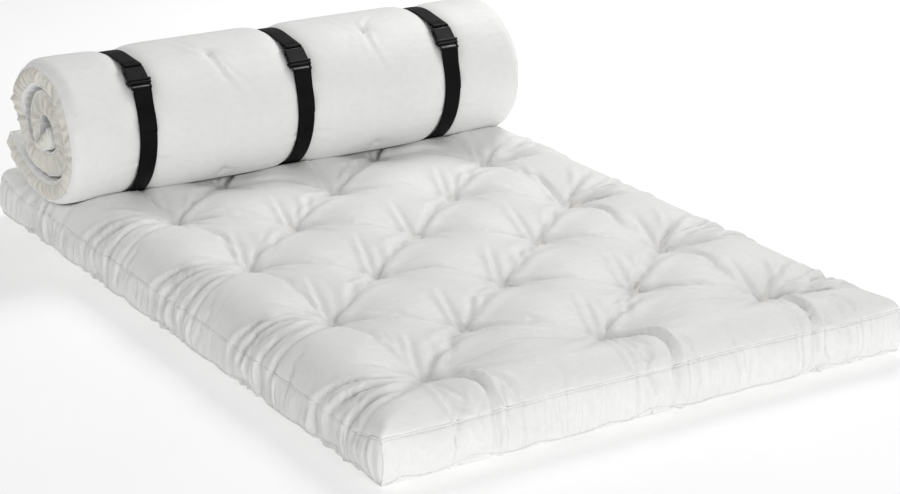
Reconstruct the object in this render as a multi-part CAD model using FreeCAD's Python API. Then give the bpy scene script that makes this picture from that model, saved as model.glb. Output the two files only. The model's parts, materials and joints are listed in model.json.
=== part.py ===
import FreeCAD, Part
import math
import os

# A tufted futon mattress lying flat, with a second tufted futon mattress rolled up on its back end
# and held by three webbing straps with side-release buckles.
# Millimetres. X is the width, Y the length with the roll at +Y, and Z is up.
# The origin is on the floor, under the middle of the flat mattress.

Vector = FreeCAD.Vector
X_AXIS = Vector(1, 0, 0)

# flat mattress
mattress_width = 1400
mattress_length = 2000
mattress_height = 120
corner_radius = 18
least_corner_radius = 3
panel_thickness = 2
seam_width = 4
seam_lift = 6
batting_gap = 1.4
batting_thickness = 14
layer_gap = 0.2

# tufts, in rows across the width, alternately three and two
tuft_row_pitch = 200
tuft_column_offset = 467
tuft_rows = 9
pit_depth = 34
pit_radius = 62
pit_floor_radius = 9
twine_radius = 1.4
knot_radius = 5
knot_height = 3

# rolled mattress: the arcs of its outer surface, seen from the side
roll_width = 1350
roll_centre_x = -25
roll_bottom_y = 705
roll_bottom_z = 125
roll_thickness = 68
turn_gap = 3
roll_half_height = 186
half_turn_depths = (202, 190, 124, 84)
tail_radius = 420
tail_angle = 38
roll_tuft_first = 83
roll_tuft_pitch = 180
roll_tuft_rows = 10
roll_knot_radius = 4
roll_knot_height = 1
roll_knot_gap = 0.4
roll_border_inset = 1

# straps
strap_spacing = 458
strap_centre_x = -30
webbing_width = 48
webbing_thickness = 2
strap_clearance = 1.8
sewn_length = 28
sewn_angle = 10
tail_lead_length = 32
tail_lead_angle = 8
tail_bend_radius = 60
tail_straight = 22
tail_wrap_angle = 16
stitch_rows = 4
stitch_pitch = 5
stitch_first = 10
stitch_width = 1
stitch_height = 0.5
stitch_margin = 4
buckle_tilts = {"left": 54, "centre": 49.5, "right": 48.5}

# side-release buckle, measured along the strap from the mouth of its socket
mouth = 1
socket_length = 45
socket_half_width = 28
socket_half_height = 7
socket_round = 2
cavity_half_width = 24
cavity_half_height = 4.6
cavity_end = 42
rim_length = 7
rim_half_width = 33
rim_half_height = 8.6
rim_round = 2.5
window_start = 18
window_end = 37
window_half_height = 4.2
bar_radius = 2.4
bar_gap = 0.3
rail_half_height = 3
rail_inner = 24.6
socket_bar_at = 55
plug_bar_at = -18
joint_lap = 1
shoulder_length = 8
shoulder_half_width = 31
shoulder_half_height = 6.6
shoulder_front = 0.6
guide_length = 30
guide_half_width = 5
prong_half_height = 3.6
prong_root = (15, 4.1)
prong_root_radius = 2.5
prong_outline = (
    (12.5, 4.1), (17.5, 4.1), (20, 16), (21, 18.6), (28.2, 19.4),
    (28.8, 24), (27.5, 30), (20, 39), (16.5, 39.5), (15, 20),
)  # fmt: skip

os.makedirs("parts", exist_ok=True)
shapes = {}


def box(low, high):
    """A box between two corners."""
    size = Vector(*high) - Vector(*low)
    return Part.makeBox(size.x, size.y, size.z, Vector(*low))


def slab(half_width, low_y, high_y, half_height):
    """A box centred across X and Z."""
    return box((-half_width, low_y, -half_height), (half_width, high_y, half_height))


def rounded(block, radius):
    """A block with all its edges rounded."""
    return block.makeFillet(radius, block.Edges)


def seat_plate(inset, low_z, high_z):
    """A plate of the flat mattress's plan, inset all round, with rounded vertical edges."""
    half_x = mattress_width / 2 - inset
    half_y = mattress_length / 2 - inset
    plate = box((-half_x, -half_y, low_z), (half_x, half_y, high_z))
    upright = [edge for edge in plate.Edges if abs(edge.tangentAt(edge.FirstParameter).z) > 0.9]
    return plate.makeFillet(max(corner_radius - inset, least_corner_radius), upright)


def tuft_rows_of(rows, first_is_wide):
    """Each tuft's x and row number, the rows being three and two tufts wide in turn."""
    for row in range(rows):
        if (row % 2 == 0) == first_is_wide:
            columns = (-tuft_column_offset, 0, tuft_column_offset)
        else:
            columns = (-tuft_column_offset / 2, tuft_column_offset / 2)
        for x in columns:
            yield x, row


class Path:
    """A flat path of tangent lines and arcs in the YZ plane, and the strips that follow it."""

    def __init__(self, y, z, heading):
        """Heading is in degrees from +Y towards +Z."""
        self.start = (y, z, heading)
        self.steps = []

    def line(self, length):
        self.steps.append((length, 0))
        return self

    def arc(self, radius, turn):
        """An arc that turns right for a positive turn, in degrees, and left for a negative one."""
        self.steps.append((radius, turn))
        return self

    @staticmethod
    def moved(state, size, turn, share=1.0):
        """The place and heading after a share of one step."""
        y, z, heading = state
        angle = math.radians(heading)
        if turn == 0:
            return y + share * size * math.cos(angle), z + share * size * math.sin(angle), heading
        side = math.copysign(size, turn)
        after = angle - math.radians(turn * share)
        y += side * (math.sin(angle) - math.sin(after))
        z -= side * (math.cos(angle) - math.cos(after))
        return y, z, heading - turn * share

    @staticmethod
    def beside(state, inset):
        """The point inset to the right of a place on the path."""
        y, z, heading = state
        angle = math.radians(heading)
        return Vector(0, y + inset * math.sin(angle), z - inset * math.cos(angle))

    def end(self):
        """The place and heading at the path's end."""
        state = self.start
        for size, turn in self.steps:
            state = self.moved(state, size, turn)
        return state

    def at(self, distance):
        """The place and heading at a distance along the path."""
        state = self.start
        for size, turn in self.steps:
            length = size * math.radians(abs(turn)) if turn else size
            if distance <= length:
                return self.moved(state, size, turn, distance / length)
            distance -= length
            state = self.moved(state, size, turn)
        return state

    def edges(self, inset):
        """The path's edges, moved inset to its right."""
        edges = []
        state = self.start
        for size, turn in self.steps:
            after = self.moved(state, size, turn)
            begin = self.beside(state, inset)
            finish = self.beside(after, inset)
            if turn == 0:
                edges.append(Part.LineSegment(begin, finish).toShape())
            else:
                halfway = self.beside(self.moved(state, size, turn, 0.5), inset)
                edges.append(Part.Arc(begin, halfway, finish).toShape())
            state = after
        return edges

    def strip(self, inset, far_inset, low_x, high_x):
        """The solid between two insets of the path, from low_x to high_x."""
        ends = [
            Part.LineSegment(self.beside(state, inset), self.beside(state, far_inset)).toShape()
            for state in (self.start, self.end())
        ]
        outline = self.edges(inset) + self.edges(far_inset) + ends
        face = Part.Face(Part.Wire(Part.__sortEdges__(outline)))
        solid = face.extrude(X_AXIS * (high_x - low_x))
        solid.translate(X_AXIS * low_x)
        return solid


def oval_radii(half_depth, half_height):
    """The radii of the top and side arcs of an oval made of four wide and four narrow 45 degree arcs."""
    mean = (half_depth + half_height) / 2
    spread = (half_depth - half_height) / (2 * (math.sqrt(2) - 1))
    return mean + spread, mean - spread


# ---------------------------------------------------------------- flat mattress


def seat_tufts():
    """The plan position of each tuft of the flat mattress."""
    first = -tuft_row_pitch * (tuft_rows - 1) / 2
    return [(x, first + row * tuft_row_pitch) for x, row in tuft_rows_of(tuft_rows, True)]


def seat_bulk(inset):
    """The mattress's bulk, inset from its surface all round, with a pit at each tuft."""
    high = mattress_height - inset
    pits = [
        Part.makeCone(pit_radius, pit_floor_radius, pit_depth, Vector(x, y, level), Vector(0, 0, down))
        for x, y in seat_tufts()
        for level, down in ((high, -1), (inset, 1))
    ]
    return seat_plate(inset, inset, high).cut(Part.makeCompound(pits))


def upright_pins(points, radius, low_z, high_z):
    """Upright cylinders at plan positions, as one compound."""
    return Part.makeCompound([Part.makeCylinder(radius, high_z - low_z, Vector(x, y, low_z)) for x, y in points])


def make_seat_cover():
    """The two panels, the four borders between them and the seams that join them."""
    cover = panel_thickness + layer_gap
    middle = mattress_height / 2
    top_seam_z = mattress_height - seam_lift - seam_width
    shell = seat_bulk(0).cut(seat_bulk(panel_thickness))
    over = seat_plate(0, top_seam_z + seam_width + layer_gap, mattress_height)
    under = seat_plate(0, 0, seam_lift - layer_gap)
    shapes["seat_top_panel"] = shell.common(over.fuse(seat_plate(cover, middle, mattress_height)))
    shapes["seat_bottom_panel"] = shell.common(under.fuse(seat_plate(cover, 0, middle)))
    for name, low_z in (("top", top_seam_z), ("bottom", seam_lift)):
        ring = seat_plate(0, low_z, low_z + seam_width)
        shapes[f"seat_{name}_seam"] = ring.cut(seat_plate(panel_thickness, low_z, low_z + seam_width))

    low_z = seam_lift + seam_width + layer_gap
    high_z = top_seam_z - layer_gap
    border = seat_plate(0, low_z, high_z).cut(seat_plate(panel_thickness, low_z, high_z))
    corner = corner_radius - (corner_radius - panel_thickness / 2) * math.sqrt(0.5)
    corners = [
        (side * (mattress_width / 2 - corner), end * (mattress_length / 2 - corner))
        for side in (-1, 1)
        for end in (-1, 1)
    ]
    seams = upright_pins(corners, panel_thickness, low_z, high_z)
    shapes["seat_corner_seams"] = seams.common(seat_plate(0, low_z, high_z))
    pieces = border.cut(upright_pins(corners, panel_thickness + layer_gap, low_z, high_z)).Solids
    for name, way in {"front": (0, -1), "back": (0, 1), "left": (-1, 0), "right": (1, 0)}.items():
        outward = Vector(way[0] / mattress_width, way[1] / mattress_length, 0)
        shapes[f"seat_{name}_border"] = max(pieces, key=lambda piece: piece.CenterOfMass.dot(outward))


def make_seat_filling():
    """The foam core and the batting round it, with the twine that draws each tuft down."""
    outer = panel_thickness + batting_gap
    inner = outer + batting_thickness
    middle = mattress_height / 2
    tufts = seat_tufts()
    channels = upright_pins(tufts, twine_radius + layer_gap, 0, mattress_height)
    wadding = seat_bulk(outer).cut(seat_bulk(inner)).cut(channels)
    shapes["seat_upper_batting"] = wadding.common(seat_plate(0, middle + layer_gap, mattress_height))
    shapes["seat_lower_batting"] = wadding.common(seat_plate(0, 0, middle - layer_gap))
    shapes["seat_foam_core"] = seat_bulk(inner + layer_gap).cut(channels)
    floor = pit_depth + outer
    shapes["seat_tuft_twine"] = upright_pins(tufts, twine_radius, floor, mattress_height - floor)
    top_knot_z = mattress_height - pit_depth + layer_gap
    bottom_knot_z = pit_depth - layer_gap - knot_height
    shapes["seat_top_tuft_knots"] = upright_pins(tufts, knot_radius, top_knot_z, top_knot_z + knot_height)
    shapes["seat_bottom_tuft_knots"] = upright_pins(tufts, knot_radius, bottom_knot_z, bottom_knot_z + knot_height)


# ---------------------------------------------------------------- rolled mattress


def roll_path():
    """The rolled mattress's outer surface, from its loose end at the back round to its core end."""
    lean = math.radians(tail_angle)
    start_y = roll_bottom_y + tail_radius * math.sin(lean)
    start_z = roll_bottom_z + tail_radius * (1 - math.cos(lean))
    path = Path(start_y, start_z, 180 + tail_angle).arc(tail_radius, tail_angle)
    half_height = roll_half_height
    for half_depth in half_turn_depths:
        wide, narrow = oval_radii(half_depth, half_height)
        path.arc(wide, 45).arc(narrow, 90)
        if half_depth != half_turn_depths[-1]:
            path.arc(wide, 45)
        half_height -= (roll_thickness + turn_gap) / 2
    return path


def make_roll_cover(path, low_x, high_x):
    """The two panels, the side and end borders, and the seams along their edges."""
    skin = panel_thickness
    depth = roll_thickness
    end = seam_width + layer_gap
    shapes["roll_outer_panel"] = path.strip(0, skin, low_x + end, high_x - end)
    shapes["roll_inner_panel"] = path.strip(depth - skin, depth, low_x + end, high_x - end)
    for name, edge_x, inward in (("left", low_x, 1), ("right", high_x, -1)):
        outer_x = edge_x + inward * roll_border_inset
        border_x = sorted((outer_x, outer_x + inward * skin))
        shapes[f"roll_{name}_border"] = path.strip(end, depth - end, *border_x)
        seam_x = sorted((edge_x, edge_x + inward * seam_width))
        edges = [path.strip(0, seam_width, *seam_x), path.strip(depth - seam_width, depth, *seam_x)]
        shapes[f"roll_{name}_seams"] = Part.makeCompound(edges)
    for name, (y, z, heading) in (("loose", path.start), ("core", path.end())):
        step = -layer_gap - skin if name == "loose" else layer_gap
        cap = Path(*Path.moved((y, z, heading), step, 0)).line(skin)
        shapes[f"roll_{name}_end_border"] = cap.strip(end, depth - end, low_x + end, high_x - end)


def make_roll_filling(path, low_x, high_x):
    """The foam core, the batting on both its faces, and the tuft twine with its knots."""
    skin = panel_thickness
    depth = roll_thickness
    face = skin + batting_thickness
    end = seam_width + layer_gap
    twine = []
    channels = []
    knots = {"outer": [], "inner": []}
    for x, row in tuft_rows_of(roll_tuft_rows, False):
        place = path.at(roll_tuft_first + row * roll_tuft_pitch)
        across = X_AXIS * (x + roll_centre_x)
        inward = Path.beside(place, 1) - Path.beside(place, 0)
        surface = Path.beside(place, 0) + across
        inside = surface + inward * (skin + layer_gap)
        length = depth - 2 * (skin + layer_gap)
        twine.append(Part.makeCylinder(twine_radius, length, inside, inward))
        channels.append(Part.makeCylinder(twine_radius + layer_gap, length, inside, inward))
        outer_knot = surface - inward * roll_knot_gap
        inner_knot = surface + inward * (depth + roll_knot_gap)
        knots["outer"].append(Part.makeCylinder(roll_knot_radius, roll_knot_height, outer_knot, inward * -1))
        knots["inner"].append(Part.makeCylinder(roll_knot_radius, roll_knot_height, inner_knot, inward))
    channels = Part.makeCompound(channels)
    layers = {
        "outer_batting": (skin + layer_gap, face),
        "foam_core": (face + layer_gap, depth - face - layer_gap),
        "inner_batting": (depth - face, depth - skin - layer_gap),
    }
    for name, (outer, inner) in layers.items():
        shapes[f"roll_{name}"] = path.strip(outer, inner, low_x + end, high_x - end).cut(channels)
    shapes["roll_tuft_twine"] = Part.makeCompound(twine)
    for name, group in knots.items():
        shapes[f"roll_{name}_tuft_knots"] = Part.makeCompound(group)


# ---------------------------------------------------------------- straps and buckles


def tangent(centre, radius, other, other_radius):
    """The heading and length of the line from one circle to another, signed by the side they lie on:
    a positive radius for a circle to the right of the line, and a negative one to its left."""
    y = other[0] - centre[0]
    z = other[1] - centre[1]
    apart = math.hypot(y, z)
    step = radius - other_radius
    heading = math.degrees(math.atan2(z, y) - math.asin(step / apart))
    return heading, math.sqrt(apart**2 - step**2)


def start_on(centre, radius, heading):
    """A path that starts on a circle to its right."""
    angle = math.radians(heading)
    return Path(centre[0] - radius * math.sin(angle), centre[1] + radius * math.cos(angle), heading)


def strap_path(socket_bar, plug_bar):
    """The webbing's middle line, from its sewn end round the roll to its loose tail."""
    stand_off = strap_clearance + webbing_thickness / 2
    wrap = bar_radius + bar_gap + webbing_thickness / 2
    front_wide, front_narrow = oval_radii(half_turn_depths[0], roll_half_height)
    back_half_height = roll_half_height - (roll_thickness + turn_gap) / 2
    back_wide, back_narrow = oval_radii(half_turn_depths[1], back_half_height)
    top_z = roll_bottom_z + 2 * roll_half_height
    over_centre = (roll_bottom_y, top_z - front_wide)
    back_centre = (roll_bottom_y + half_turn_depths[1] - back_narrow, top_z - back_half_height)
    front_centre = (roll_bottom_y - half_turn_depths[0] + front_narrow, roll_bottom_z + roll_half_height)
    lean = math.radians(tail_angle)
    corner = (
        roll_bottom_y + tail_radius * math.sin(lean),
        roll_bottom_z + tail_radius * (1 - math.cos(lean)),
    )

    leave, top_run = tangent(socket_bar, wrap, over_centre, front_wide + stand_off)
    drop, back_run = tangent(back_centre, back_narrow + stand_off, corner, stand_off)
    rise, front_run = tangent(front_centre, front_narrow + stand_off, plug_bar, -wrap)
    sewn_heading = leave + 180 + sewn_angle
    path = start_on(socket_bar, wrap, sewn_heading)
    path = Path(*Path.moved(path.start, -sewn_length, 0)).line(sewn_length)
    path.arc(wrap, 180 + sewn_angle).line(top_run)
    path.arc(front_wide + stand_off, leave)
    path.arc(back_wide + stand_off, 45).arc(back_narrow + stand_off, -45 - drop).line(back_run)
    path.arc(stand_off, 180 + drop - tail_angle)
    path.arc(tail_radius + stand_off, tail_angle)
    path.arc(front_wide + stand_off, 45).arc(front_narrow + stand_off, 135 - rise).line(front_run)
    path.arc(wrap, -180 - tail_lead_angle)
    path.line(tail_lead_length).arc(tail_bend_radius, tail_lead_angle).line(tail_straight)
    return path.arc(front_narrow + stand_off + webbing_thickness + bar_gap, -tail_wrap_angle)


def strap_rails(low_y, high_y):
    """The two side rails that carry a buckle's strap bar."""
    return [
        box((low_x, low_y, -rail_half_height), (high_x, high_y, rail_half_height))
        for low_x, high_x in ((-socket_half_width, -rail_inner), (rail_inner, socket_half_width))
    ]


def strap_bar(y):
    """The round bar that the webbing wraps."""
    end = rail_inner + joint_lap
    return Part.makeCylinder(bar_radius, 2 * end, Vector(-end, y, 0), X_AXIS)


def make_socket():
    """The socket, with its mouth facing -Y, its strap bar at +Y and a window in each side."""
    end = mouth + socket_length
    body = rounded(slab(socket_half_width, mouth, end, socket_half_height), socket_round)
    rim = rounded(slab(rim_half_width, mouth, mouth + rim_length, rim_half_height), rim_round)
    rails = strap_rails(end - socket_round, socket_bar_at + bar_radius)
    cavity = slab(cavity_half_width, mouth - joint_lap, cavity_end, cavity_half_height)
    windows = slab(rim_half_width, window_start, window_end, window_half_height)
    solid = body.fuse([rim, *rails, strap_bar(socket_bar_at)])
    return solid.cut(cavity).cut(windows).removeSplitter()


def make_plug():
    """The plug, with a strap bar at -Y, a shoulder and a guide that enters the socket."""
    back = shoulder_front - shoulder_length
    shoulder = rounded(slab(shoulder_half_width, back, shoulder_front, shoulder_half_height), socket_round)
    rails = strap_rails(plug_bar_at - bar_radius, back + socket_round)
    guide = slab(guide_half_width, shoulder_front - joint_lap, guide_length, rail_half_height)
    return shoulder.fuse([*rails, strap_bar(plug_bar_at), guide]).removeSplitter()


def make_prong(side):
    """One springy prong of the plug, with a round root and the ear that catches in the socket's window."""
    corners = [Vector(side * x, y, -prong_half_height) for x, y in prong_outline]
    outline = Part.Face(Part.makePolygon([*corners, corners[0]]))
    arm = outline.extrude(Vector(0, 0, 2 * prong_half_height))
    root_at = Vector(side * prong_root[0], prong_root[1], -prong_half_height)
    root = Part.makeCylinder(prong_root_radius, 2 * prong_half_height, root_at)
    return arm.fuse(root).removeSplitter()


def make_strap(name, x):
    """One strap with its buckle, lying across the roll's upper front."""
    tilt = math.radians(buckle_tilts[name])
    wide, _ = oval_radii(half_turn_depths[0], roll_half_height)
    centre_z = roll_bottom_z + 2 * roll_half_height - wide
    outward = Vector(0, -math.cos(tilt), math.sin(tilt))
    along = Vector(0, math.sin(tilt), math.cos(tilt))
    rest = Vector(x, roll_bottom_y, centre_z) + outward * (wide + rim_half_height + mouth)
    origin = rest - along * ((socket_bar_at + plug_bar_at) / 2)
    turn = FreeCAD.Rotation(X_AXIS, 90 - buckle_tilts[name])
    placement = FreeCAD.Placement(origin, turn)
    pieces = {
        "buckle_socket": make_socket(),
        "buckle_plug": make_plug(),
        "buckle_prong_left": make_prong(-1),
        "buckle_prong_right": make_prong(1),
    }
    for piece, shape in pieces.items():
        shape.Placement = placement
        shapes[f"{name}_{piece}"] = shape

    bars = [origin + along * at for at in (socket_bar_at, plug_bar_at)]
    path = strap_path(*[(bar.y, bar.z) for bar in bars])
    half = webbing_thickness / 2
    low_x = x - webbing_width / 2
    shapes[f"{name}_strap_webbing"] = path.strip(-half, half, low_x, low_x + webbing_width)
    wrap_end = sewn_length + math.radians(180 + sewn_angle) * (bar_radius + bar_gap + half)
    stitch_under = -half - layer_gap / 2
    stitch_x = (low_x + stitch_margin, low_x + webbing_width - stitch_margin)
    stitches = []
    for row in range(stitch_rows):
        place = path.at(wrap_end + stitch_first + row * stitch_pitch)
        stitch = Path(*place).line(stitch_width)
        stitches.append(stitch.strip(stitch_under - stitch_height, stitch_under, *stitch_x))
    shapes[f"{name}_strap_stitches"] = Part.makeCompound(stitches)


make_seat_cover()
make_seat_filling()
roll_low_x = roll_centre_x - roll_width / 2
roll_high_x = roll_centre_x + roll_width / 2
rolled = roll_path()
make_roll_cover(rolled, roll_low_x, roll_high_x)
make_roll_filling(rolled, roll_low_x, roll_high_x)
for number, side in enumerate(buckle_tilts):
    make_strap(side, strap_centre_x + (number - 1) * strap_spacing)
for node, shape in shapes.items():
    if not shape.isValid() or not shape.Solids:
        raise ValueError(f"{node} is not a good solid")
    shape.exportStep(f"parts/{node}.step")
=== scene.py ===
"""A tufted futon mattress with a second one rolled up on its back end, under three buckled straps."""

import json
import math

import bpy
import numpy as np
from mathutils import Matrix, Vector


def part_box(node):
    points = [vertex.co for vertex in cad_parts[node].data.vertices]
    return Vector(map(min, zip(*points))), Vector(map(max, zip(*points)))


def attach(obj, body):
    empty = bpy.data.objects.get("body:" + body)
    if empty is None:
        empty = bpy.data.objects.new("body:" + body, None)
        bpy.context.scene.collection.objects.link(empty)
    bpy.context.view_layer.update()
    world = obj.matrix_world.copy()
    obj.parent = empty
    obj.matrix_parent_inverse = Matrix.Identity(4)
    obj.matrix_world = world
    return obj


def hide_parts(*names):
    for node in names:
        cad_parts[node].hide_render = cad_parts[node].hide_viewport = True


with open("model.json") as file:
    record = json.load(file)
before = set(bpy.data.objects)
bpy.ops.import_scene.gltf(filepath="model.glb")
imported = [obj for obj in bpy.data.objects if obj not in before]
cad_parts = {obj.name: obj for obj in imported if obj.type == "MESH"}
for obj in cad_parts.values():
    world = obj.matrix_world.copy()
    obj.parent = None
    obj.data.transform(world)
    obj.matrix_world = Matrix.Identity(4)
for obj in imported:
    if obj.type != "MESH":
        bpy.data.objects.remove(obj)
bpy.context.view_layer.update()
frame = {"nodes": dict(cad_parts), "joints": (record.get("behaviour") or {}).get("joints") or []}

# The flat mattress, in metres: its covers
seat_low, seat_high = (np.array(v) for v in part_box("seat_top_seam"))
WIDTH, LENGTH = (seat_high - seat_low)[:2]
SEAM_TOP = 0.113
SEAM_BOTTOM = 0.010
CROWN = 0.026
FRONT_ROUND = 0.026
SIDE_ROUND = 0.052
ROUND_REACH = 0.075
BORDER_SWELL = 0.010
PIT_LEVEL = 0.108
PIT_SPREAD = 0.050
FLOOR_PIT = 0.026
CLOTH = 0.0012
CREASE_RANGE = (-0.018, 0.009)
TOP_WELT = 0.0018
BOTTOM_WELT = 0.0020
CORNER_WELT = 0.0018
CELL = 0.008
BORDER_ROWS = 12
WALL_SPLIT = 4

# How firmly the simulated cover is held, and how long and hard it is blown up
HOLD_TUFT = 1.0
HOLD_RIM = 0.15
HOLD_TOP = 0.02
COVER_FRAMES = 24
COVER_PRESSURE = 5
COVER_CLOTH = {
    "quality": 5,
    "mass": 0.25,
    "tension_stiffness": 30,
    "compression_stiffness": 12,
    "shear_stiffness": 8,
    "bending_stiffness": 0.15,
    "tension_damping": 8,
    "compression_damping": 8,
    "shear_damping": 8,
    "air_damping": 4,
}

# The upright pleats of its border: spacing, share of deep ones, and depths and widths of deep and others
PLEAT_GAPS = (0.009, 0.030)
DEEP_PLEATS = 0.16
PLEAT_DEPTHS = {True: (0.0040, 0.0070), False: (0.0008, 0.0028)}
PLEAT_WIDTHS = {True: (0.0045, 0.0080), False: (0.0030, 0.0060)}
PLEAT_LEAN = 0.012
SIDE_PLEATS = 2.6
END_PLEATS = 1.2
SCALLOP = 0.011
SCALLOP_TUCK = 0.0075
TUFT_SCALLOP = 0.048

# Its filling, which keeps this many cells and this share of the plan clear of the border
FILLING_INSET = 5
FILLING_STEP = 3
FILLING_SHARE = 0.985

# Its tufts
TUFT_PITCH = 0.2
TUFT_OFFSET = 0.467
TUFT_ROWS = 9
TWINE = 0.0012

# The rolled mattress
roll_low, roll_high = (np.array(v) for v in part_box("roll_outer_panel"))
roll_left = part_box("roll_left_seams")[0][0]
roll_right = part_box("roll_right_seams")[1][0]
ROLL_X = (roll_left + roll_right) / 2
ROLL_BOTTOM_Y = 0.705
ROLL_BOTTOM_Z = roll_low[2]
ROLL_HALF_HEIGHT = (roll_high[2] - roll_low[2]) / 2
HALF_TURNS = (0.202, 0.190, 0.124, 0.084)
ROLL_THICK = 0.068
CORE_FOLD = [(0.0872, 45), (0.0594, 45), (0.0376, 90)]
CORE_FOLD_THICK = 0.036
TURN_PITCH = 0.071
TAIL_RADIUS = 0.420
TAIL_ANGLE = 38
ROLL_TUFT_FIRST = 0.083
ROLL_TUFT_PITCH = 0.18
ROLL_TUFT_ROWS = 10

# Its ends: how the panels roll over to the side borders, and how the turns' edges wander
EDGE_ROUND = 0.028
EDGE_DEPTH = 0.013
INNER_EDGE_DEPTH = 0.0050
END_WAVE = 0.0060
END_RECESS = 0.007
END_TAPER = 0.014
BORDER_STEP = 0.0032
ROLL_WELT = 0.0021

# Its long creases, in x and distance along the roll: start, end, bend, depth and width
ROLL_FOLDS = [
    ((-0.2585, 0.803), (-0.195, 0.640), -0.022, 0.0055, 0.006),
    ((-0.2400, 0.790), (-0.185, 0.690), -0.016, 0.0030, 0.005),
    ((-0.2585, 0.803), (-0.335, 0.93), 0.018, 0.0065, 0.007),
    ((0.2085, 0.803), (0.235, 0.64), -0.016, 0.0045, 0.005),
    ((0.2085, 0.803), (0.150, 0.92), 0.016, 0.0060, 0.007),
    ((0.2085, 0.803), (0.280, 0.86), 0.010, 0.0040, 0.006),
    ((-0.515, 0.530), (-0.590, 0.535), 0.004, 0.0050, 0.005),
    ((-0.475, 0.530), (-0.410, 0.525), 0.004, 0.0050, 0.005),
    ((-0.055, 0.530), (-0.120, 0.535), 0.004, 0.0050, 0.005),
    ((-0.015, 0.530), (0.050, 0.528), 0.004, 0.0050, 0.005),
    ((0.405, 0.530), (0.340, 0.535), 0.004, 0.0040, 0.005),
    ((0.445, 0.530), (0.510, 0.528), 0.004, 0.0040, 0.005),
    ((-0.2585, 0.443), (-0.290, 0.560), 0.010, 0.0030, 0.006),
    ((0.2085, 0.443), (0.180, 0.550), 0.010, 0.0030, 0.006),
    ((0.155, 0.800), (0.150, 0.65), -0.006, 0.002, 0.004),
    ((0.175, 0.795), (0.178, 0.62), -0.006, 0.002, 0.004),
    ((0.140, 0.780), (0.130, 0.66), -0.004, 0.0015, 0.004),
]

# The straps
STRAPS = ("left", "centre", "right")
STRAP_STAND_OFF = -0.0015
STRAP_CORNER = 0.0028
STRAP_LEAN = 0.040
STRAP_LEAN_FROM = 0.40
WEB_THICK = 0.002
WEB_HALF_WIDTH = 0.024
WRAP = 0.0037
SEWN_LENGTH = 0.028
SEWN_ANGLE = 10
TAIL_LEAD = 0.032
TAIL_LEAD_ANGLE = 8
TAIL_BEND = 0.060
TAIL_STRAIGHT = 0.022
TAIL_WRAP = 16
PRONG_ROOT_ALONG = 0.0041
BAR_PLACES = (0.055, -0.018)
STITCH_ROWS = 4
STITCH_FIRST = 0.010
STITCH_PITCH = 0.005
STITCHES = 10
STITCH_STEP = 0.0038
STITCH_LONG = 0.0028
STITCH_EDGE = 0.0185


# Helpers


def mesh_object(name, points, faces):
    """A new smooth-shaded mesh object from an array of points and an array of quads."""
    points = np.asarray(points, dtype=np.float32).reshape(-1, 3)
    faces = np.asarray(faces, dtype=np.int32)
    mesh = bpy.data.meshes.new(name)
    mesh.vertices.add(len(points))
    mesh.vertices.foreach_set("co", points.ravel())
    mesh.loops.add(faces.size)
    mesh.loops.foreach_set("vertex_index", faces.ravel())
    mesh.polygons.add(len(faces))
    mesh.polygons.foreach_set("loop_start", np.arange(0, faces.size, faces.shape[1], dtype=np.int32))
    mesh.update(calc_edges=True)
    mesh.validate()
    mesh.polygons.foreach_set("use_smooth", np.ones(len(mesh.polygons), dtype=bool))
    obj = bpy.data.objects.new(name, mesh)
    bpy.context.scene.collection.objects.link(obj)
    return obj


def grid_faces(rows, columns, wrap_rows=False, wrap_columns=False, flip=False):
    """The quads of a grid of rows x columns points, numbered row by row."""
    r = np.arange(rows if wrap_rows else rows - 1)
    c = np.arange(columns if wrap_columns else columns - 1)
    r, c = np.meshgrid(r, c, indexing="ij")
    r2 = (r + 1) % rows
    c2 = (c + 1) % columns
    quads = np.stack([r * columns + c, r * columns + c2, r2 * columns + c2, r2 * columns + c], -1)
    quads = quads.reshape(-1, 4)
    return quads[:, ::-1] if flip else quads


def perimeter(rows, columns):
    """The rim of a grid of points, anticlockwise from its front left corner."""
    front = np.arange(columns - 1)
    right = np.arange(rows - 1) * columns + columns - 1
    back = rows * columns - 1 - np.arange(columns - 1)
    left = (rows - 1 - np.arange(rows - 1)) * columns
    return np.concatenate([front, right, back, left])


def slab(name, upper, lower, flip=False):
    """A closed slab between two grids of points, turned inside out if it is flipped."""
    rows, columns = upper.shape[:2]
    count = rows * columns
    rim = perimeter(rows, columns)
    after = np.roll(rim, -1)
    sides = np.stack([after, rim, rim + count, after + count], -1)
    if flip:
        sides = sides[:, ::-1]
    faces = [grid_faces(rows, columns, flip=flip), grid_faces(rows, columns, flip=not flip) + count, sides]
    points = np.concatenate([upper.reshape(-1, 3), lower.reshape(-1, 3)])
    return mesh_object(name, points, np.concatenate(faces))


def cloth_piece(name, points, flip=False):
    """A sheet from a grid of points, given the thickness of cloth on the side away from its normals."""
    normals = grid_normals(points)
    if flip:
        normals = -normals
    return slab(name, points, points - normals * CLOTH, flip)


def grid_normals(points):
    """Unit normals of a grid of points, from its rows and columns."""
    down = np.gradient(points, axis=0)
    across = np.gradient(points, axis=1)
    normals = np.cross(across, down)
    return normals / np.maximum(np.linalg.norm(normals, axis=-1, keepdims=True), 1e-12)


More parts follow.
